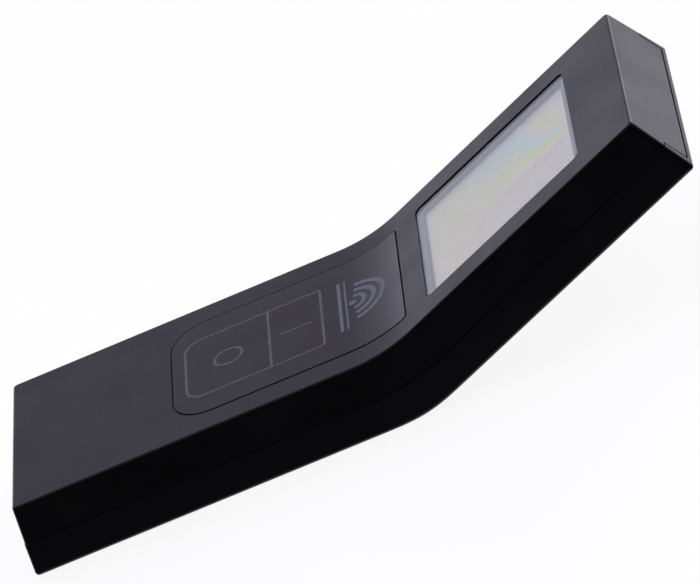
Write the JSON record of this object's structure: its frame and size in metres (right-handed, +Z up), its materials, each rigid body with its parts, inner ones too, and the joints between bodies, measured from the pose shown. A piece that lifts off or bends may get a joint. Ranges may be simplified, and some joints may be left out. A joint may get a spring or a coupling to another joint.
{
  "type": "geiger counter",
  "caption": "Slim bent hand-held radiation counter with a flush membrane keypad and a recessed display window.",
  "frame": {"origin": "centre of the bounding box in X and Y, on the plane that the handle's underside rests on", "axes": "+X from the handle end towards the raised head, +Y across the case away from the near side, +Z up"},
  "size_m": [0.197, 0.072, 0.053],
  "materials": {
    "case_black": "fine moulded ABS, faint texture",
    "keypad_film": "satin polyester film",
    "key_film": "satin polyester film over each key",
    "window_clear": "clear acrylic",
    "bezel_grey": "light grey moulded frame",
    "lcd_face": "pale grey display with a faint pearly sheen",
    "lcd_glass": "bare display glass",
    "lcd_silver": "silvered reflector film",
    "zebra_rubber": "layered contact rubber",
    "board_green": "solder-masked glass laminate",
    "steel": "zinc-plated steel",
    "tube_metal": "drawn metal tube",
    "brass": "plain brass",
    "nickel": "nickel-plated spring sheet",
    "circuit_film": "printed polyester film",
    "component_black": "moulded component body",
    "connector_white": "cream nylon",
    "ferrite": "sintered ferrite",
    "ceramic_blue": "dipped ceramic",
    "cell_jacket": "plain printed metal jacket",
    "wire_red": "PVC insulation",
    "wire_black": "PVC insulation"
  },
  "bodies": {
    "case": {"top_shell": "case_black", "bottom_shell": "case_black", "keypad_overlay": "keypad_film", "window_lens": "window_clear", "display_bezel": "bezel_grey", "lcd_front_glass": "lcd_face", "lcd_rear_glass": "lcd_glass", "lcd_reflector": "lcd_silver", "zebra_strip_near": "zebra_rubber", "zebra_strip_far": "zebra_rubber", "display_board": "board_green", "tube_board": "board_green", "main_board": "board_green", "geiger_tube": "tube_metal", "tube_anode_cap": "brass", "tube_cathode_cap": "brass", "tube_clip_near": "brass", "tube_clip_far": "brass", "hv_transformer": "ferrite", "power_inductor": "ferrite", "hv_capacitor_1": "ceramic_blue", "hv_capacitor_2": "ceramic_blue", "board_header": "component_black", "microcontroller": "component_black", "piezo_buzzer": "component_black", "crystal": "steel", "storage_capacitor": "steel", "board_ribbon": "circuit_film", "keypad_circuit": "circuit_film", "ribbon_socket_main": "connector_white", "ribbon_socket_head": "connector_white", "tail_connector": "connector_white", "off_dome": "nickel", "on_dome": "nickel", "cell_1": "cell_jacket", "cell_2": "cell_jacket", "contact_bridge": "nickel", "contact_plus": "nickel", "contact_minus": "nickel", "contact_spring_1": "nickel", "contact_spring_2": "nickel", "battery_lead_red": "wire_red", "battery_lead_black": "wire_black", "case_screw_1": "steel", "case_screw_2": "steel", "case_screw_3": "steel", "case_screw_4": "steel", "display_screw_1": "steel", "display_screw_2": "steel", "display_screw_3": "steel", "display_screw_4": "steel", "tube_board_screw_1": "steel", "tube_board_screw_2": "steel", "main_board_screw_1": "steel", "main_board_screw_2": "steel"},
    "off_key": {"off_key": "key_film"},
    "on_key": {"on_key": "key_film"},
    "battery_door": {"battery_door": "case_black"}
  },
  "joints": [
    {"name": "off_key_press", "type": "slide", "parent": "case", "child": "off_key", "axis": [0, 0, -1], "range_m": [0, 0.0004], "stiffness_N_per_m": 5000, "deforming": ["off_dome"]},
    {"name": "on_key_press", "type": "slide", "parent": "case", "child": "on_key", "axis": [0, 0, -1], "range_m": [0, 0.0004], "stiffness_N_per_m": 5000, "deforming": ["on_dome"]},
    {"name": "battery_door_slide", "type": "slide", "parent": "case", "child": "battery_door", "axis": [-1, 0, 0], "range_m": [0, 0.04]}
  ]
}
